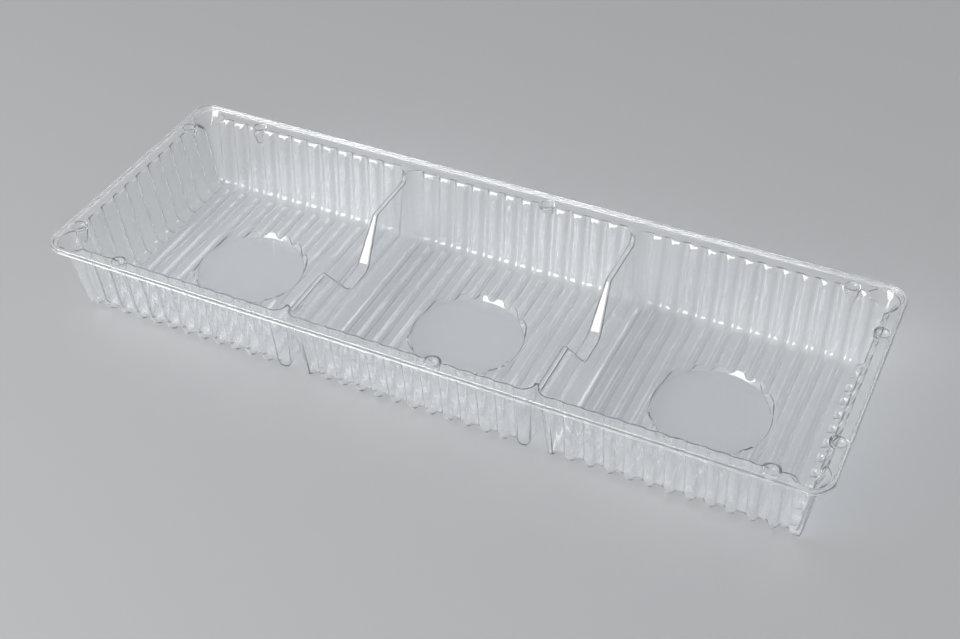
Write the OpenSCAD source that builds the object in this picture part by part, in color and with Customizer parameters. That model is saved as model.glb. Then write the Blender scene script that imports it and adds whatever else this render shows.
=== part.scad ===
// Clear thermoformed tray with three ribbed cells in a row, formed from one sheet.
// Its frame: the origin is the middle of the base, X along the tray, Z up, in millimetres.

/* [Tray] */
// Length over the flange
tray_l = 260; // [250:1:275]
// Width over the flange
tray_w = 93; // [88:1:100]
// Height from the base to the top of the edge bead
tray_h = 30; // [26:0.5:36]
// Thickness of the formed sheet
sheet = 0.5; // [0.4:0.05:0.6]
// Number of cells in the row
cells = 3; // [2:1:4]

/* [Flange] */
// Radius of the flange's outer corners
corner_r = 6.3; // [5:0.1:9]
// Width of the flange along the two long sides
flange_side = 4.9; // [4.5:0.1:6]
// Width of the flange at the two ends
flange_end = 4.2; // [3.8:0.1:5.5]
// Height of the bead above the flange
bead_h = 1.3; // [0.8:0.1:1.8]
// Width of the bead along the flange's edge
bead_w = 1.4; // [1.2:0.1:1.8]
// Radius that rolls the flange over into the walls
lip_r = 0.9; // [0.7:0.1:1.2]

/* [Walls] */
// Draft of the long walls in degrees
side_draft = 5.5; // [3:0.5:7]
// Draft of the end walls in degrees
end_draft = 6.5; // [3:0.5:8]
// Radius between the walls and the floor
foot_r = 4.2; // [3:0.1:6]
// Depth of the ribs in the walls and the floor
rib_depth = 1.3; // [0.8:0.1:1.6]
// Spacing of the ribs that run across the floor and up both long walls
rib_pitch = 6.2; // [5.6:0.1:7.4]
// Spacing of the upright ribs in the end walls
end_rib_pitch = 6.6; // [5.8:0.1:7.6]
// Share of the spacing that is the flat top of a crest
crest_share = 0.42; // [0.1:0.02:0.5]
// Plain stretch kept free of ribs beside each divider
rib_margin = 2.8; // [2.4:0.1:4]
// Radius of the flat round pad in each floor
pad_r = 18.2; // [12:0.1:24]
// How far the pads stand below the ribs' grooves
pad_drop = 0.3; // [0.2:0.1:1]

/* [Corners] */
// Radius of the upright corners beside the dividers
cell_corner_r = 4.2; // [3:0.1:5]
// Radius of the four outer corners of the row of cells
outer_corner_r = 1; // [0.8:0.1:2]
// Radius of the four funnels at the flange
funnel_r = 5.5; // [4:0.1:7]
// Height of the four funnels
funnel_h = 4.4; // [3:0.1:8]

/* [Dividers] */
// Width of a divider along its ridge
ridge_w = 1.8; // [1.6:0.1:3]
// Drop of the ridge below the flange
ridge_drop = 2.6; // [2:0.1:4]
// Draft of the divider's two sides in degrees
divider_draft = 5; // [3:0.5:6]
// Radius at the foot of a divider
divider_foot_r = 2.6; // [2:0.1:4]
// Length of the steep end of the ridge where it climbs to the flange
ridge_end = 0.4; // [0.2:0.1:4]
// Length of the finger notch at the ridge
notch_l = 34; // [26:1:44]
// Length of the finger notch at its floor
notch_floor_l = 12; // [8:1:18]
// Depth of the finger notch below the ridge
notch_depth = 15; // [8:0.5:17]
// Radius at the notch's floor corners
notch_r = 4; // [2:0.1:5]

/* [Stacking lugs] */
// Radius of the tab that each lug adds to the flange
lug_r = 2.8; // [2.4:0.1:3.2]
// Radius of the dimple in each lug
dimple_r = 2; // [1.5:0.1:2.2]
// Radius of the dimple's flat floor
dimple_floor_r = 1.4; // [1:0.1:1.5]
// Depth of the dimple in each lug
dimple_depth = 1.4; // [1:0.1:2]
// Height of the post under each lug
lug_h = 6.5; // [4.5:0.1:8]
// Places of the lugs along both long sides
side_lugs = [-103, 10, 112.8];
// Distance of the left end's lugs from the middle line
left_lug_y = 31.7; // [28:0.1:33]
// Distance of the right end's lugs from the middle line
right_lug_y = 24.6; // [20:0.1:28]

/* [Hidden] */
flange_z = tray_h - bead_h;
ridge_z = flange_z - ridge_drop;
notch_z = ridge_z - notch_depth;
half_l = tray_l / 2 - flange_end;
half_w = tray_w / 2 - flange_side;
cell_pitch = 2 * half_l / cells;
floor_z = sheet + pad_drop;
// Level above the tray at which the shapes of its hollows end
above = tray_h + 2;
// Distance from a cell's middle at which those shapes end
plain = 60;
// Length of the blocks that fill the upright corners
fill_l = 12;
// Thickness of the thin slices that a hull spans, and overlap of shapes that join
slice = 0.01;
overlap = 0.2;
// Steps that draw each quarter turn, and sides of the small and the large round shapes
turn_steps = 2;
small_sides = 12;
corner_sides = 16;
large_sides = 32;
pad_sides = 40;
// Number of ribs on each side of a cell's middle, and of an end wall's middle
ribs_x = floor((cell_pitch / 2 - ridge_w / 2 - rib_margin) / rib_pitch - 1);
ribs_y = floor((half_w - outer_corner_r) / end_rib_pitch - 1);

// Course of a ribbed surface as pairs of place and inset: 0 in a groove, rib_depth on a crest.
// The grooves lie at whole pitches, and past the last crest the surface stays at groove level.
function rib_course(pitch, count) = let (half_crest = crest_share * pitch / 2) concat(
    [[-plain, 0]],
    [for (k = [-count - 1 : count]) each [
        [k * pitch, 0],
        [(k + 0.5) * pitch - half_crest, rib_depth],
        [(k + 0.5) * pitch + half_crest, rib_depth]]],
    [[(count + 1) * pitch, 0], [plain, 0]]);

// Distance of a wall from the middle at height z, for a wall that stands at top under the flange.
function wall_at(top, draft, z, inward) = top - (flange_z - z) * tan(draft) - inward / cos(draft);

// One side of a section from the floor up, inset by ribs and grown by the sheet.
// It runs round the foot, up the wall and over the lip, and ends above the tray.
function side_section(top, draft, foot, ribs, grow) = let (
    z0 = floor_z + foot,
    y0 = wall_at(top, draft, z0, foot),
    turn = foot - ribs + grow,
    lip_z = flange_z - lip_r,
    lip_y = wall_at(top, draft, lip_z, ribs) + lip_r,
    lip = lip_r - grow) concat(
    [for (i = [0 : turn_steps]) let (a = -90 + i * (90 - draft) / turn_steps)
        [y0 + turn * cos(a), z0 + turn * sin(a)]],
    [[lip_y - lip, lip_z], [lip_y, lip_z + lip], [lip_y, above]]);

function mirrored(points) = [for (i = [len(points) - 1 : -1 : 0]) [-points[i][0], points[i][1]]];

function swept_faces(rows, points) = concat(
    [[for (j = [0 : points - 1]) j]],
    [[for (j = [points - 1 : -1 : 0]) (rows - 1) * points + j]],
    [for (i = [0 : rows - 2]) for (j = [0 : points - 1]) let (k = (j + 1) % points)
        each [[i * points + j, (i + 1) * points + k, i * points + k],
              [i * points + j, (i + 1) * points + j, (i + 1) * points + k]]]);

// Ribbed trough along X: its walls and its floor carry the ribs that run across the tray.
module trough(grow) {
    rows = [for (rib = rib_course(rib_pitch, ribs_x))
        let (side = side_section(half_w, side_draft, foot_r, rib[1], grow))
        [for (p = concat(mirrored(side), side)) [rib[0], p[0], p[1]]]];
    polyhedron([for (row = rows) each row], swept_faces(len(rows), len(rows[0])));
}

// Ribbed face of an end wall, as a solid that reaches from the middle of its cell to the wall.
module end_block(grow) {
    reach = half_l - (cells - 1) / 2 * cell_pitch;
    rows = [for (rib = rib_course(end_rib_pitch, ribs_y))
        let (side = side_section(reach, end_draft, foot_r, rib[1], grow))
        [for (p = concat([[-plain, above], [-plain, -sheet], [side[0][0], -sheet]], side))
            [p[0], -rib[0], p[1]]]];
    polyhedron([for (row = rows) each row], swept_faces(len(rows), len(rows[0])));
}

// Plain face of a divider, as a solid that reaches from the middle of its cell to the divider.
module divider_block(grow) {
    foot = divider_foot_r;
    z0 = floor_z + foot;
    face = (cell_pitch - ridge_w) / 2;
    x0 = face - (ridge_z - z0) * tan(divider_draft) - foot / cos(divider_draft);
    turn = foot + grow;
    top = face + (above - ridge_z) * tan(divider_draft) + grow / cos(divider_draft);
    rotate([90, 0, 0])
        linear_extrude(2 * plain + tray_w, center = true)
            polygon(concat(
                [[-plain, above], [-plain, -sheet], [x0, -sheet]],
                [for (i = [0 : turn_steps]) let (a = -90 + i * (90 - divider_draft) / turn_steps)
                    [x0 + turn * cos(a), z0 + turn * sin(a)]],
                [[top, above]]));
}

// What fills an upright corner outside its radius r. The corner leans from low to high.
module corner_fill(low, high, r, grow) {
    difference() {
        hull()
            for (p = [low, high])
                translate(p - [r, r, 0]) cube([fill_l + r, fill_l + r, slice]);
        hull() {
            translate(low - [r, r, 1]) cylinder(r = r + grow, h = 1, $fn = corner_sides);
            translate(high - [r, r, -slice]) cylinder(r = r + grow, h = 1, $fn = corner_sides);
        }
    }
}

// Corner between a long wall and a divider, for the cell whose middle is at x = 0.
module divider_corner(grow) {
    function at(z) = [
        (cell_pitch - ridge_w) / 2 - (ridge_z - z) * tan(divider_draft),
        wall_at(half_w, side_draft, z, 0), z];
    corner_fill(at(-sheet), at(above), cell_corner_r, grow);
}

// Upright corner between a long wall and an end wall, for the cell whose middle is at x = 0.
module outer_corner(grow) {
    reach = half_l - (cells - 1) / 2 * cell_pitch;
    function at(z) = [
        wall_at(reach, end_draft, z, 0), wall_at(half_w, side_draft, z, 0), z];
    corner_fill(at(-sheet), at(above), outer_corner_r, grow);
}

// Funnel that opens an outer corner of the tray towards the flange.
module funnel(grow) {
    throat = flange_z - funnel_h;
    back = 1.5 * outer_corner_r;
    hull() {
        translate([
            wall_at(half_l, end_draft, throat, 0) - back,
            wall_at(half_w, side_draft, throat, 0) - back,
            throat])
            cylinder(r = outer_corner_r + grow, h = slice, $fn = corner_sides);
        translate([
            tray_l / 2 - bead_w - lip_r / 2 - funnel_r,
            tray_w / 2 - bead_w - lip_r / 2 - funnel_r,
            flange_z - grow])
            cylinder(r = funnel_r, h = grow + 1, $fn = large_sides);
    }
}

// One cell with its middle at x = 0. left and right say which of its sides is an end wall.
module cell(left, right, grow) {
    difference() {
        intersection() {
            trough(grow);
            if (right) end_block(grow); else divider_block(grow);
            mirror([1, 0, 0]) if (left) end_block(grow); else divider_block(grow);
        }
        for (y = [0, 1]) mirror([0, y, 0]) {
            if (right) outer_corner(grow); else divider_corner(grow);
            mirror([1, 0, 0]) if (left) outer_corner(grow); else divider_corner(grow);
        }
    }
    translate([0, 0, sheet - grow])
        cylinder(r = pad_r + grow, h = pad_drop + rib_depth + grow + overlap, $fn = pad_sides);
}

// Passage over a divider: its ridge, sunk below the flange, and the finger notch.
module passage(grow) {
    corner_share = 0.9;
    end_y = half_w - corner_share * cell_corner_r;
    half = [
        [end_y + (above - flange_z) * ridge_end / ridge_drop, above],
        [end_y - ridge_end, ridge_z],
        [notch_l / 2, ridge_z],
        [notch_floor_l / 2, notch_z]];
    outline = concat(half, [for (i = [len(half) - 1 : -1 : 0]) [-half[i][0], half[i][1]]]);
    rotate([90, 0, 90])
        linear_extrude(cell_corner_r + ridge_w + 2 * notch_depth * tan(divider_draft), center = true)
            offset(r = grow, $fn = large_sides)
                offset(r = -notch_r, $fn = large_sides)
                    offset(delta = notch_r)
                        polygon(outline);
}

// All the cells and the passages between them.
module cavity(grow) {
    for (i = [0 : cells - 1])
        translate([(i - (cells - 1) / 2) * cell_pitch, 0, 0])
            cell(i == 0, i == cells - 1, grow);
    for (i = [1 : cells - 1])
        translate([(i - cells / 2) * cell_pitch, 0, 0])
            passage(grow);
    for (x = [0, 1]) for (y = [0, 1])
        mirror([x, 0, 0]) mirror([0, y, 0]) funnel(grow);
}

// Runs its children at every lug, with Y pointing outwards and the wall's top edge at y = 0.
module at_lugs() {
    for (x = side_lugs) {
        translate([x, half_w, flange_z]) children();
        translate([x, -half_w, flange_z]) mirror([0, 1, 0]) children();
    }
    for (s = [-1, 1]) {
        translate([half_l, s * right_lug_y, flange_z]) rotate(-90) children();
        translate([-half_l, s * left_lug_y, flange_z]) rotate(90) children();
    }
}

// Post under a lug: round under the flange, running out into the wall below.
// It is hollow from outside, and inside says how much smaller that hollow is.
module lug_post(inside) {
    lug_y = bead_w / 2;
    hull() {
        translate([0, lug_y, -lip_r]) cylinder(r = lug_r - inside, h = lip_r + 1, $fn = small_sides);
        translate([0, -lug_h * tan(side_draft) + lug_y, inside - lug_h])
            cylinder(r = lug_r / 2 - inside, h = 1, $fn = small_sides);
    }
}

// Round dimple in a lug. Its hollow side rises past the flange, and its outside ends there.
module dimple(grow) {
    rise = grow > 0 ? 0 : overlap;
    translate([0, bead_w / 2, -dimple_depth - grow])
        cylinder(
            r1 = dimple_floor_r + grow, r2 = dimple_r + grow,
            h = dimple_depth + grow + rise, $fn = small_sides);
}

// Flat outline of the flange, drawn in from its edge by the given distance.
module flange_outline(inwards) {
    offset(r = corner_r - inwards, $fn = large_sides)
        square([tray_l - 2 * corner_r, tray_w - 2 * corner_r], center = true);
}

// Flange with its bead along the edge, which is hollow from below.
module flange() {
    round_over = bead_w / 3;
    under = flange_z - sheet;
    difference() {
        union() {
            translate([0, 0, under]) linear_extrude(sheet) flange_outline(0);
            hull() {
                translate([0, 0, flange_z]) linear_extrude(bead_h - round_over) flange_outline(0);
                translate([0, 0, flange_z]) linear_extrude(bead_h) flange_outline(round_over);
            }
        }
        translate([0, 0, flange_z]) linear_extrude(2 * bead_h) flange_outline(bead_w);
        translate([0, 0, under - 1])
            linear_extrude(bead_h + 1)
                difference() {
                    flange_outline(sheet);
                    flange_outline(bead_w - sheet);
                }
    }
}

// The whole tray: what lies outside its hollows by the sheet's thickness, less the hollows.
module tray() {
    color([0.86, 0.89, 0.91, 0.45])
        difference() {
            union() {
                flange();
                intersection() {
                    difference() {
                        cavity(sheet);
                        at_lugs() lug_post(sheet);
                    }
                    translate([0, 0, (flange_z - sheet) / 2])
                        cube([tray_l, tray_w, flange_z + sheet], center = true);
                }
                at_lugs() dimple(sheet);
            }
            difference() {
                cavity(0);
                at_lugs() lug_post(0);
            }
            at_lugs() dimple(0);
        }
}

tray();
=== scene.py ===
"""Clear thermoformed tray with three ribbed cells, on a pale floor in soft studio light."""
import math

import bmesh
import bpy
from mathutils import Matrix, Vector


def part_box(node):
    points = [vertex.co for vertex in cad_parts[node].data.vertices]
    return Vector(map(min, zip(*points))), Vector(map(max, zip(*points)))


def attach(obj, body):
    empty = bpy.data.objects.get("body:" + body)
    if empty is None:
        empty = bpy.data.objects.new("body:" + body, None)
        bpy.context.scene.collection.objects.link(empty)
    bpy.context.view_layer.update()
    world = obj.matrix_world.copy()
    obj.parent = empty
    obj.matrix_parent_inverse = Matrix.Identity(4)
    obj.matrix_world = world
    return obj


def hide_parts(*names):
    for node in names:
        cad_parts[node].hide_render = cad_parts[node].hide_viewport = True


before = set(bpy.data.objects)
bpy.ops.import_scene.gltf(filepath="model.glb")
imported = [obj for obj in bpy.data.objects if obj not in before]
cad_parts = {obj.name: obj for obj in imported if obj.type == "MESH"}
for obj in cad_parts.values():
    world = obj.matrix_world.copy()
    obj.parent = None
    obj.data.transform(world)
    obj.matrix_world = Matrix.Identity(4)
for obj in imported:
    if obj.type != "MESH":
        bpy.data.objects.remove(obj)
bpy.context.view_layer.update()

MM = 0.001

# Overall size, in millimetres like every size of the tray below
(x_low, y_low, z_low), (x_high, y_high, z_high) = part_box("tray")
TRAY_L = (x_high - x_low) / MM
TRAY_W = (y_high - y_low) / MM
TRAY_H = (z_high - z_low) / MM
SHEET = 0.5
CELLS = 3

# Flange
CORNER_R = 6.3
FLANGE_SIDE = 4.9
FLANGE_END = 4.2
BEAD_H = 1.3
BEAD_W = 1.4
LIP_R = 0.9
LIP_RUN = 0.4
LIP_SLOPE = math.radians(55)
LIP_ROLL_SHARE = 0.5
LEAST_ROLL = 0.05

# Walls and floor
SIDE_DRAFT = math.radians(5.5)
END_DRAFT = math.radians(6.5)
FOOT_R = 4.2
RIB_DEPTH = 1.3
RIB_PITCH = 6.2
END_RIB_PITCH = 6.6
RIBS_X = 5
RIBS_Y = 5
CREST_SHARE = 0.3
GROOVE_SHARE = 0.14
PAD_R = 18.2
PAD_DROP = 0.3
PAD_SLOPE = math.radians(37)

# Corners
CELL_CORNER_R = 4.2
OUTER_CORNER_R = 1.0
FUNNEL_R = 5.5
FUNNEL_H = 5.4
FUNNEL_BACK = 1.5 * OUTER_CORNER_R

# Dividers
RIDGE_W = 1.8
RIDGE_DROP = 2.6
DIVIDER_DRAFT = math.radians(5)
DIVIDER_FOOT_R = 2.6
RIDGE_END = 0.4
RIDGE_END_R = 1.2
CORNER_SHARE = 0.9
NOTCH_L = 34.0
NOTCH_FLOOR_L = 12.0
NOTCH_DEPTH = 15.0
NOTCH_R = 4.0
NOTCH_TOP_SHARE = 0.6
RIDGE_ROUND = 0.8
RIDGE_TURN = math.radians(80)

# Stacking lugs
LUG_R = 2.8
DIMPLE_R = 2.0
DIMPLE_DEPTH = 1.4
DIMPLE_BEND_R = 0.6
DIMPLE_SLOPE = 0.3
DIMPLE_TOP = 0.3
LUG_H = 6.5
SIDE_LUGS = (-103.0, 10.0, 112.8)
LEFT_LUG_Y = 31.7
RIGHT_LUG_Y = 24.6

# How far a cutting shape reaches past what it cuts, and joined shapes into each other
SPARE = 1.0
OVERLAP = 0.1
PAD_SPARE = 0.2
CORNER_BLOCK = 14.0
FAR = 60.0

# Levels and places that follow
FLANGE_Z = TRAY_H - BEAD_H
RIDGE_Z = FLANGE_Z - RIDGE_DROP
NOTCH_Z = RIDGE_Z - NOTCH_DEPTH
FLOOR_Z = SHEET + PAD_DROP
HALF_L = TRAY_L / 2 - FLANGE_END
HALF_W = TRAY_W / 2 - FLANGE_SIDE
CELL_PITCH = 2 * HALF_L / CELLS
END_REACH = HALF_L - (CELLS - 1) / 2 * CELL_PITCH
ABOVE = TRAY_H + 2 * SPARE

# Fineness of the curves, and the angle past which an edge looks sharp
RIB_STEPS = 7
FOOT_STEPS = 6
LIP_STEPS = 4
BEAD_STEPS = 8
BEND_STEPS = 8
CORNER_STEPS = 10
RIDGE_STEPS = 5
ROUND_STEPS = 40
SHARP_ANGLE = math.radians(32)

# Studio, in metres and watts. The floor lies just below the tray, so that their faces stay apart
FLOOR_LEVEL = -0.0002
FLOOR_SIZE = 6.0
FLOOR_COLOUR = (0.42, 0.425, 0.435, 1)
WORLD_COLOUR = (0.52, 0.525, 0.535, 1)
KEY_PLACE = (-0.483, -0.908, 0.524)
KEY_SIZE = (0.8, 0.7)
KEY_POWER = 14
BACK_PLACE = (0.605, 0.66, 0.583)
BACK_SIZE = (0.3, 0.3)
BACK_POWER = 1


def new_object(name, vertices, faces):
    """Closed mesh object from vertices in millimetres."""
    mesh = bpy.data.meshes.new(name)
    mesh.from_pydata([tuple(v) for v in vertices], [], faces)
    mesh.validate()
    shape = bmesh.new()
    shape.from_mesh(mesh)
    bmesh.ops.recalc_face_normals(shape, faces=shape.faces)
    shape.to_mesh(mesh)
    shape.free()
    obj = bpy.data.objects.new(name, mesh)
    bpy.context.scene.collection.objects.link(obj)
    return obj


def loft(name, rows):
    """Closed solid through rows of points, each row a closed outline with as many points."""
    count = len(rows[0])
    faces = [list(range(count)), [(len(rows) - 1) * count + j for j in range(count)]]
    for i in range(len(rows) - 1):
        for j in range(count):
            k = (j + 1) % count
            faces.append([i * count + j, i * count + k, (i + 1) * count + k, (i + 1) * count + j])
    return new_object(name, [p for row in rows for p in row], faces)


def placed(obj, matrix, flip=False):
    """The same object with its mesh moved by a matrix. A mirrored mesh is turned inside out again."""
    obj.data.transform(matrix)
    if flip:
        obj.data.flip_normals()
    return obj


def mirrored(obj, x=False, y=False):
    """The same object turned over to the other side in X, in Y or in both."""
    signs = (-1 if x else 1, -1 if y else 1)
    return placed(obj, Matrix.Diagonal((signs[0], signs[1], 1, 1)), flip=signs[0] * signs[1] < 0)


def combine(target, others, operation):
    """Unites, intersects or subtracts the other objects in turn, and deletes them."""
    for other in others:
        modifier = target.modifiers.new("combine", "BOOLEAN")
        modifier.operation = operation
        modifier.solver = "MANIFOLD"
        modifier.object = other
        result = bpy.data.meshes.new_from_object(
            target.evaluated_get(bpy.context.evaluated_depsgraph_get()))
        target.modifiers.clear()
        old = target.data
        target.data = result
        bpy.data.meshes.remove(old)
        bpy.data.meshes.remove(other.data)
    return target


def arc(centre, radius, start, end, steps):
    """Points of an arc, with angles in radians."""
    turns = [start + (end - start) * i / steps for i in range(steps + 1)]
    return [(centre[0] + radius * math.cos(a), centre[1] + radius * math.sin(a)) for a in turns]


def ring(centre, radius, z):
    """Circle of points at a height."""
    turns = [2 * math.pi * i / ROUND_STEPS for i in range(ROUND_STEPS)]
    return [(centre[0] + radius * math.cos(a), centre[1] + radius * math.sin(a), z) for a in turns]


def wall_at(top, draft, z, inward=0.0):
    """Distance of a wall from the middle at height z, for a wall that stands at top under the flange."""
    return top - (FLANGE_Z - z) * math.tan(draft) - inward / math.cos(draft)


def rib_course(pitch, count):
    """Course of a ribbed surface as pairs of place and inset. Grooves lie at whole pitches."""
    course = [(-FAR, 0.0)]
    for i in range(-2 * (count + 1) * RIB_STEPS, 2 * (count + 1) * RIB_STEPS + 1):
        place = i / (2 * RIB_STEPS)
        reach = abs(place - round(place)) * 2
        rise = min(max((reach - GROOVE_SHARE) / (1 - GROOVE_SHARE - CREST_SHARE), 0.0), 1.0)
        course.append((place * pitch, RIB_DEPTH * rise * rise * (3 - 2 * rise)))
    course.append((FAR, 0.0))
    return course


def lip_points(top, draft, ribs, grow):
    """Slope and roll between a wall and the straight inner edge of the flange, from below.

    A rib stands further in than a groove, so the slope runs further down on it.
    """
    tilt = math.pi / 2 - LIP_SLOPE
    roll_fall = LIP_ROLL_SHARE * (1 - math.sin(tilt)) / math.cos(tilt)
    fall = roll_fall + (1 - LIP_ROLL_SHARE) / math.tan(tilt)
    run = (LIP_RUN + ribs / math.cos(draft)) / (1 - fall * math.tan(draft))
    radius = LIP_ROLL_SHARE * run / math.cos(tilt)
    mitre = grow / math.cos((tilt - draft) / 2)
    turn = (tilt + draft) / 2
    edge = top + LIP_RUN
    low = (edge - run + mitre * math.cos(turn), FLANGE_Z - fall * run - mitre * math.sin(turn))
    roll = arc((edge, FLANGE_Z - radius), max(radius - grow, LEAST_ROLL), math.pi - tilt, math.pi / 2,
               LIP_STEPS)
    return [low] + roll


def side_section(top, draft, ribs, grow):
    """One side of a section from the floor up, inset by ribs and grown by the sheet."""
    z0 = FLOOR_Z + FOOT_R
    y0 = wall_at(top, draft, z0, FOOT_R)
    foot = arc((y0, z0), FOOT_R - ribs + grow, -math.pi / 2, -draft, FOOT_STEPS)
    return foot + lip_points(top, draft, ribs, grow) + [(top + LIP_RUN, ABOVE)]


def trough(grow):
    """Ribbed trough along X: its walls and its floor carry the ribs that run across the tray."""
    rows = []
    for x, ribs in rib_course(RIB_PITCH, RIBS_X):
        side = side_section(HALF_W, SIDE_DRAFT, ribs, grow)
        rows.append([(x, -y, z) for y, z in reversed(side)] + [(x, y, z) for y, z in side])
    return loft("trough", rows)


def end_block(grow):
    """Ribbed face of an end wall, as a solid that reaches from the middle of its cell to the wall."""
    rows = []
    for y, ribs in rib_course(END_RIB_PITCH, RIBS_Y):
        side = side_section(END_REACH, END_DRAFT, ribs, grow)
        outline = [(-FAR, ABOVE), (-FAR, -SHEET), (side[0][0], -SHEET)] + side
        rows.append([(x, y, z) for x, z in outline])
    return loft("end_block", rows)


def divider_face(z):
    """Distance of a divider's face from the middle of its cell at height z."""
    return (CELL_PITCH - RIDGE_W) / 2 - (RIDGE_Z - z) * math.tan(DIVIDER_DRAFT)


def divider_block(grow):
    """Plain face of a divider, as a solid that reaches from the middle of its cell to the divider."""
    z0 = FLOOR_Z + DIVIDER_FOOT_R
    x0 = divider_face(z0) - DIVIDER_FOOT_R / math.cos(DIVIDER_DRAFT)
    foot = arc((x0, z0), DIVIDER_FOOT_R + grow, -math.pi / 2, -DIVIDER_DRAFT, FOOT_STEPS)
    top = divider_face(ABOVE) + grow / math.cos(DIVIDER_DRAFT)
    outline = [(-FAR, ABOVE), (-FAR, -SHEET), (x0, -SHEET)] + foot + [(top, ABOVE)]
    return loft("divider_block", [[(x, y, z) for x, z in outline] for y in (-FAR, FAR)])


def corner_fill(face_x, radius, grow):
    """What fills an upright corner outside its radius. face_x gives the wall's place at a height."""
    def centre(z):
        return face_x(z) - radius, wall_at(HALF_W, SIDE_DRAFT, z) - radius

    blocks = []
    for z in (-SHEET, ABOVE):
        x, y = centre(z)
        blocks.append([(x, y, z), (x + CORNER_BLOCK, y, z), (x + CORNER_BLOCK, y + CORNER_BLOCK, z),
                       (x, y + CORNER_BLOCK, z)])
    lip_z = FLANGE_Z - LIP_R
    rings = [ring(centre(-2 * SHEET), radius + grow, -2 * SHEET)]
    lip = arc((LIP_R, lip_z), LIP_R - grow, math.pi, math.pi / 2, LIP_STEPS)
    rings += [ring(centre(lip_z), radius + out, z) for out, z in lip]
    rings.append(ring(centre(lip_z), radius + LIP_R, ABOVE + SPARE))
    return combine(loft("corner", blocks), [loft("corner_round", rings)], "DIFFERENCE")


def funnel(grow):
    """Funnel that opens an outer corner of the tray towards the flange."""
    throat = FLANGE_Z - FUNNEL_H
    low = (wall_at(HALF_L, END_DRAFT, throat) - FUNNEL_BACK,
           wall_at(HALF_W, SIDE_DRAFT, throat) - FUNNEL_BACK)
    edge = BEAD_W + LIP_R / 2 + FUNNEL_R
    high = (TRAY_L / 2 - edge, TRAY_W / 2 - edge)
    rows = [ring(low, OUTER_CORNER_R + grow, throat), ring(high, FUNNEL_R, FLANGE_Z - grow),
            ring(high, FUNNEL_R, FLANGE_Z + SPARE)]
    return loft("funnel", rows)


def cell(left, right, grow):
    """One cell with its middle at x = 0. left and right say which of its sides is an end wall."""
    def wall(is_end):
        return end_block(grow) if is_end else divider_block(grow)

    def corner(is_end):
        if is_end:
            return corner_fill(lambda z: wall_at(END_REACH, END_DRAFT, z), OUTER_CORNER_R, grow)
        return corner_fill(divider_face, CELL_CORNER_R, grow)

    shape = combine(trough(grow), [wall(right), mirrored(wall(left), x=True)], "INTERSECT")
    corners = []
    for y in (False, True):
        corners.append(mirrored(corner(right), y=y))
        corners.append(mirrored(corner(left), x=True, y=y))
    combine(shape, corners, "DIFFERENCE")
    rise = PAD_DROP + RIB_DEPTH + grow + PAD_SPARE
    pad = loft("pad", [ring((0, 0), PAD_R + grow, SHEET - grow),
                       ring((0, 0), PAD_R + grow + rise * math.tan(PAD_SLOPE), SHEET - grow + rise)])
    return combine(shape, [pad], "UNION")


def passage_outline(grow):
    """Bottom outline of the passage over a divider, as (y, z, outward y, outward z), from -y to y."""
    end_y = HALF_W - CORNER_SHARE * CELL_CORNER_R
    slope = math.atan2(NOTCH_DEPTH, (NOTCH_L - NOTCH_FLOOR_L) / 2)
    bend = NOTCH_R * math.tan(slope / 2)
    ridge_bend = NOTCH_TOP_SHARE * bend
    ridge_r = ridge_bend / math.tan(slope / 2)
    end_slope = math.atan2(RIDGE_DROP, RIDGE_END)
    end_bend = RIDGE_END_R * math.tan(end_slope / 2)
    half = []

    def turn(y, z, radius, start, end, side):
        """Arc below its centre where side is 1, and above it where side is -1."""
        for i in range(BEND_STEPS + 1):
            a = start + (end - start) * i / BEND_STEPS
            half.append((y + side * radius * math.sin(a), z - side * radius * math.cos(a),
                         math.sin(a), -math.cos(a)))

    turn(NOTCH_FLOOR_L / 2 - bend, NOTCH_Z + NOTCH_R, NOTCH_R, 0, slope, 1)
    turn(NOTCH_L / 2 + ridge_bend, RIDGE_Z - ridge_r, ridge_r, slope, 0, -1)
    turn(end_y - RIDGE_END - end_bend, RIDGE_Z + RIDGE_END_R, RIDGE_END_R, 0, end_slope, 1)
    run = (ABOVE - half[-1][1]) / math.tan(end_slope)
    half.append((half[-1][0] + run, ABOVE, math.sin(end_slope), -math.cos(end_slope)))
    both = [(-y, z, -ny, nz) for y, z, ny, nz in reversed(half)] + half
    return [(y + grow * ny, z + grow * nz, ny, nz) for y, z, ny, nz in both]


def passage(grow):
    """Passage over a divider, which rounds the ridge and the finger notch below it."""
    outline = passage_outline(grow)
    radius = RIDGE_ROUND - grow
    rows = []
    for side in (-1, 1):
        strip = []
        for i in range(RIDGE_STEPS + 1):
            a = i / RIDGE_STEPS * RIDGE_TURN
            row = []
            for y, z, ny, nz in outline:
                half = RIDGE_W / 2 + (RIDGE_Z - min(z, RIDGE_Z)) * math.tan(DIVIDER_DRAFT) - grow
                x = half - radius + radius * math.sin(a)
                drop = radius * (1 - math.cos(a))
                row.append((side * x, y + drop * ny, z + drop * nz))
            row[0] = (row[0][0], row[0][1], ABOVE)
            row[-1] = (row[-1][0], row[-1][1], ABOVE)
            strip.append(row)
        strip.append([(x + side * 2 * SPARE, y, z) for x, y, z in strip[-1]])
        rows += strip[::side]
    return loft("passage", rows)


def cavity(grow):
    """All the cells and the passages between them."""
    shapes = []
    for i in range(CELLS):
        x = (i - (CELLS - 1) / 2) * CELL_PITCH
        shapes.append(placed(cell(i == 0, i == CELLS - 1, grow), Matrix.Translation((x, 0, 0))))
    for i in range(1, CELLS):
        x = (i - CELLS / 2) * CELL_PITCH
        shapes.append(placed(passage(grow), Matrix.Translation((x, 0, 0))))
    for x in (False, True):
        for y in (False, True):
            shapes.append(mirrored(funnel(grow), x=x, y=y))
    return combine(shapes[0], shapes[1:], "UNION")


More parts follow.
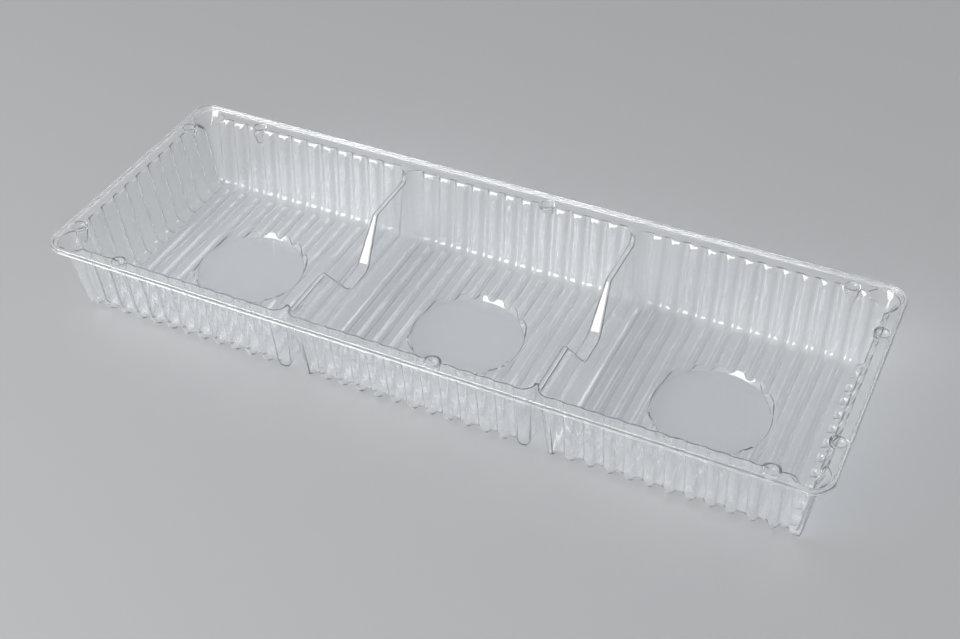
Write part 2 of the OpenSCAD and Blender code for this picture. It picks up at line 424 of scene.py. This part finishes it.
def at_lugs(make):
    """An object from make() at every lug, with Y pointing outwards and the wall's top edge at y = 0."""
    quarter = math.pi / 2
    places = []
    for x in SIDE_LUGS:
        places.append(((x, HALF_W), 0.0))
        places.append(((x, -HALF_W), 2 * quarter))
    for s in (-1, 1):
        places.append(((HALF_L, s * RIGHT_LUG_Y), -quarter))
        places.append(((-HALF_L, s * LEFT_LUG_Y), quarter))
    return [placed(make(), Matrix.Translation((x, y, FLANGE_Z)) @ Matrix.Rotation(angle, 4, "Z"))
            for (x, y), angle in places]


def lug_post(inside):
    """Post under a lug: round under the flange, running out into the wall below."""
    out = BEAD_W / 2
    low = (0, out - LUG_H * math.tan(SIDE_DRAFT))
    rows = [ring(low, LUG_R / 2 - inside, inside - LUG_H),
            ring((0, out), LUG_R - inside, -LIP_R), ring((0, out), LUG_R - inside, SPARE)]
    return loft("lug_post", rows)


def dimple(grow):
    """Round dimple in a lug."""
    out = (0, BEAD_W / 2)
    bend = (DIMPLE_R - DIMPLE_BEND_R, -DIMPLE_DEPTH + DIMPLE_BEND_R)
    bottom = arc(bend, DIMPLE_BEND_R + grow, -math.pi / 2, -DIMPLE_SLOPE, LIP_STEPS)
    rows = [ring(out, r, z) for r, z in bottom]
    rows.append(ring(out, DIMPLE_R + grow, 0.0 if grow else DIMPLE_TOP))
    return loft("dimple", rows)


def flange_outline(inwards, z):
    """Rounded rectangle at a height, drawn in from the flange's edge."""
    x, y, r = TRAY_L / 2 - CORNER_R, TRAY_W / 2 - CORNER_R, CORNER_R - inwards
    points = []
    for corner, (cx, cy) in enumerate(((x, y), (-x, y), (-x, -y), (x, -y))):
        start = corner * math.pi / 2
        points += [(px, py, z) for px, py in arc((cx, cy), r, start, start + math.pi / 2, CORNER_STEPS)]
    return points


def rim(edge, low):
    """Ring with a half-round crown over the flange's edge, drawn in from the bead by the given amount."""
    middle = (BEAD_W / 2, TRAY_H - BEAD_W / 2)
    radius = BEAD_W / 2 - edge
    crown = arc(middle, radius, math.pi, math.pi / 2, BEAD_STEPS)
    ring_solid = loft("rim", [flange_outline(edge, low)] + [flange_outline(out, z) for out, z in crown])
    crown = arc(middle, radius, 0, math.pi / 2, BEAD_STEPS)
    rows = [flange_outline(BEAD_W - edge, low - SPARE)] + [flange_outline(out, z) for out, z in crown]
    rows.append(flange_outline(BEAD_W / 2, TRAY_H + SPARE))
    return combine(ring_solid, [loft("rim_inside", rows)], "DIFFERENCE")


def flange():
    """Flange with its bead along the edge, which is hollow from below."""
    plate = loft("flange", [flange_outline(0, FLANGE_Z - SHEET), flange_outline(0, FLANGE_Z + OVERLAP)])
    hole = loft("hole", [flange_outline(BEAD_W, FLANGE_Z), flange_outline(BEAD_W, FLANGE_Z + SPARE)])
    combine(plate, [hole], "DIFFERENCE")
    combine(plate, [rim(0, FLANGE_Z - SHEET / 2)], "UNION")
    return combine(plate, [rim(SHEET, FLANGE_Z - SHEET - SPARE)], "DIFFERENCE")


def tray():
    """The whole tray as one closed sheet of even thickness."""
    outside = combine(cavity(SHEET), at_lugs(lambda: lug_post(SHEET)), "DIFFERENCE")
    half_l, half_w = TRAY_L / 2 + SPARE, TRAY_W / 2 + SPARE
    corners = ((-half_l, -half_w), (half_l, -half_w), (half_l, half_w), (-half_l, half_w))
    slab = loft("slab", [[(x, y, z) for x, y in corners] for z in (-SPARE, FLANGE_Z)])
    combine(outside, [slab], "INTERSECT")
    inside = combine(cavity(0.0), at_lugs(lambda: lug_post(0.0)), "DIFFERENCE")
    shape = combine(flange(), [outside] + at_lugs(lambda: dimple(SHEET)), "UNION")
    combine(shape, [inside] + at_lugs(lambda: dimple(0.0)), "DIFFERENCE")
    shape.name = "clear_tray"
    shape.data.name = "clear_tray"
    shape.data.materials.clear()
    shape.data.transform(Matrix.Scale(MM, 4))
    return shape


def clear_plastic():
    """Clear glossy sheet with the faint waviness of a formed film."""
    material = bpy.data.materials.new("clear_plastic")
    material.use_nodes = True
    nodes, links = material.node_tree.nodes, material.node_tree.links
    nodes.clear()
    output = nodes.new("ShaderNodeOutputMaterial")
    surface = nodes.new("ShaderNodeBsdfPrincipled")
    surface.inputs["Base Color"].default_value = (0.97, 0.98, 0.985, 1)
    surface.inputs["Transmission Weight"].default_value = 0.95
    surface.inputs["IOR"].default_value = 1.5
    place = nodes.new("ShaderNodeTexCoord")
    haze = nodes.new("ShaderNodeTexNoise")
    haze.inputs["Scale"].default_value = 60
    haze.inputs["Detail"].default_value = 4
    rough = nodes.new("ShaderNodeMapRange")
    rough.inputs["To Min"].default_value = 0.01
    rough.inputs["To Max"].default_value = 0.05
    waves = nodes.new("ShaderNodeTexNoise")
    waves.inputs["Scale"].default_value = 90
    waves.inputs["Detail"].default_value = 2
    bump = nodes.new("ShaderNodeBump")
    bump.inputs["Strength"].default_value = 0.03
    bump.inputs["Distance"].default_value = 0.0004
    passing = nodes.new("ShaderNodeBsdfTransparent")
    passing.inputs["Color"].default_value = (0.9, 0.91, 0.92, 1)
    path = nodes.new("ShaderNodeLightPath")
    mix = nodes.new("ShaderNodeMixShader")
    links.new(place.outputs["Object"], haze.inputs["Vector"])
    links.new(place.outputs["Object"], waves.inputs["Vector"])
    links.new(haze.outputs["Fac"], rough.inputs["Value"])
    links.new(rough.outputs["Result"], surface.inputs["Roughness"])
    links.new(waves.outputs["Fac"], bump.inputs["Height"])
    links.new(bump.outputs["Normal"], surface.inputs["Normal"])
    links.new(path.outputs["Is Shadow Ray"], mix.inputs[0])
    links.new(surface.outputs["BSDF"], mix.inputs[1])
    links.new(passing.outputs["BSDF"], mix.inputs[2])
    links.new(mix.outputs["Shader"], output.inputs["Surface"])
    return material


def smooth(obj, angle):
    """Smooth shading, with sharp edges past the given angle."""
    obj.data.shade_smooth()
    obj.data.set_sharp_from_angle(angle=angle)
    modifier = obj.modifiers.new("weighted", "WEIGHTED_NORMAL")
    modifier.keep_sharp = True
    modifier.weight = 80


def add_floor():
    """Plain pale floor."""
    material = bpy.data.materials.new("floor")
    material.use_nodes = True
    surface = material.node_tree.nodes["Principled BSDF"]
    surface.inputs["Base Color"].default_value = FLOOR_COLOUR
    surface.inputs["Roughness"].default_value = 0.6
    bpy.ops.mesh.primitive_plane_add(size=FLOOR_SIZE, location=(0, 0, FLOOR_LEVEL))
    floor = bpy.context.object
    floor.name = "floor"
    floor.data.materials.append(material)


def add_lamp(name, place, size, power):
    """Soft rectangular lamp that points at the tray."""
    light = bpy.data.lights.new(name, "AREA")
    light.shape = "RECTANGLE"
    light.size, light.size_y = size
    light.energy = power
    lamp = bpy.data.objects.new(name, light)
    lamp.location = place
    lamp.rotation_euler = (-Vector(place)).to_track_quat("-Z", "Y").to_euler()
    bpy.context.scene.collection.objects.link(lamp)


def add_camera():
    """Camera at the photograph's angle, found from the flange's outline."""
    place = Vector((0.16083, -0.30998, 0.31381))
    target = Vector((0.01544, -0.02096, 0.030))
    roll = math.radians(-1.49)
    data = bpy.data.cameras.new("camera")
    data.lens = 53.55
    data.sensor_width = 36
    data.clip_start = 0.01
    camera = bpy.data.objects.new("camera", data)
    camera.location = place
    turn = (target - place).to_track_quat("-Z", "Y").to_matrix().to_4x4()
    camera.rotation_euler = (turn @ Matrix.Rotation(roll, 4, "Z")).to_euler()
    bpy.context.scene.collection.objects.link(camera)
    bpy.context.scene.camera = camera


def add_world():
    """Even pale light from all round."""
    world = bpy.data.worlds.new("world")
    world.use_nodes = True
    world.node_tree.nodes["Background"].inputs["Color"].default_value = WORLD_COLOUR
    bpy.context.scene.world = world
    bpy.context.scene.view_settings.view_transform = "Standard"


add_camera()
add_floor()
add_lamp("key", KEY_PLACE, KEY_SIZE, KEY_POWER)
add_lamp("back", BACK_PLACE, BACK_SIZE, BACK_POWER)
add_world()

piece = tray()
smooth(piece, SHARP_ANGLE)
piece.data.materials.append(clear_plastic())
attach(piece, "root")
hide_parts("tray")
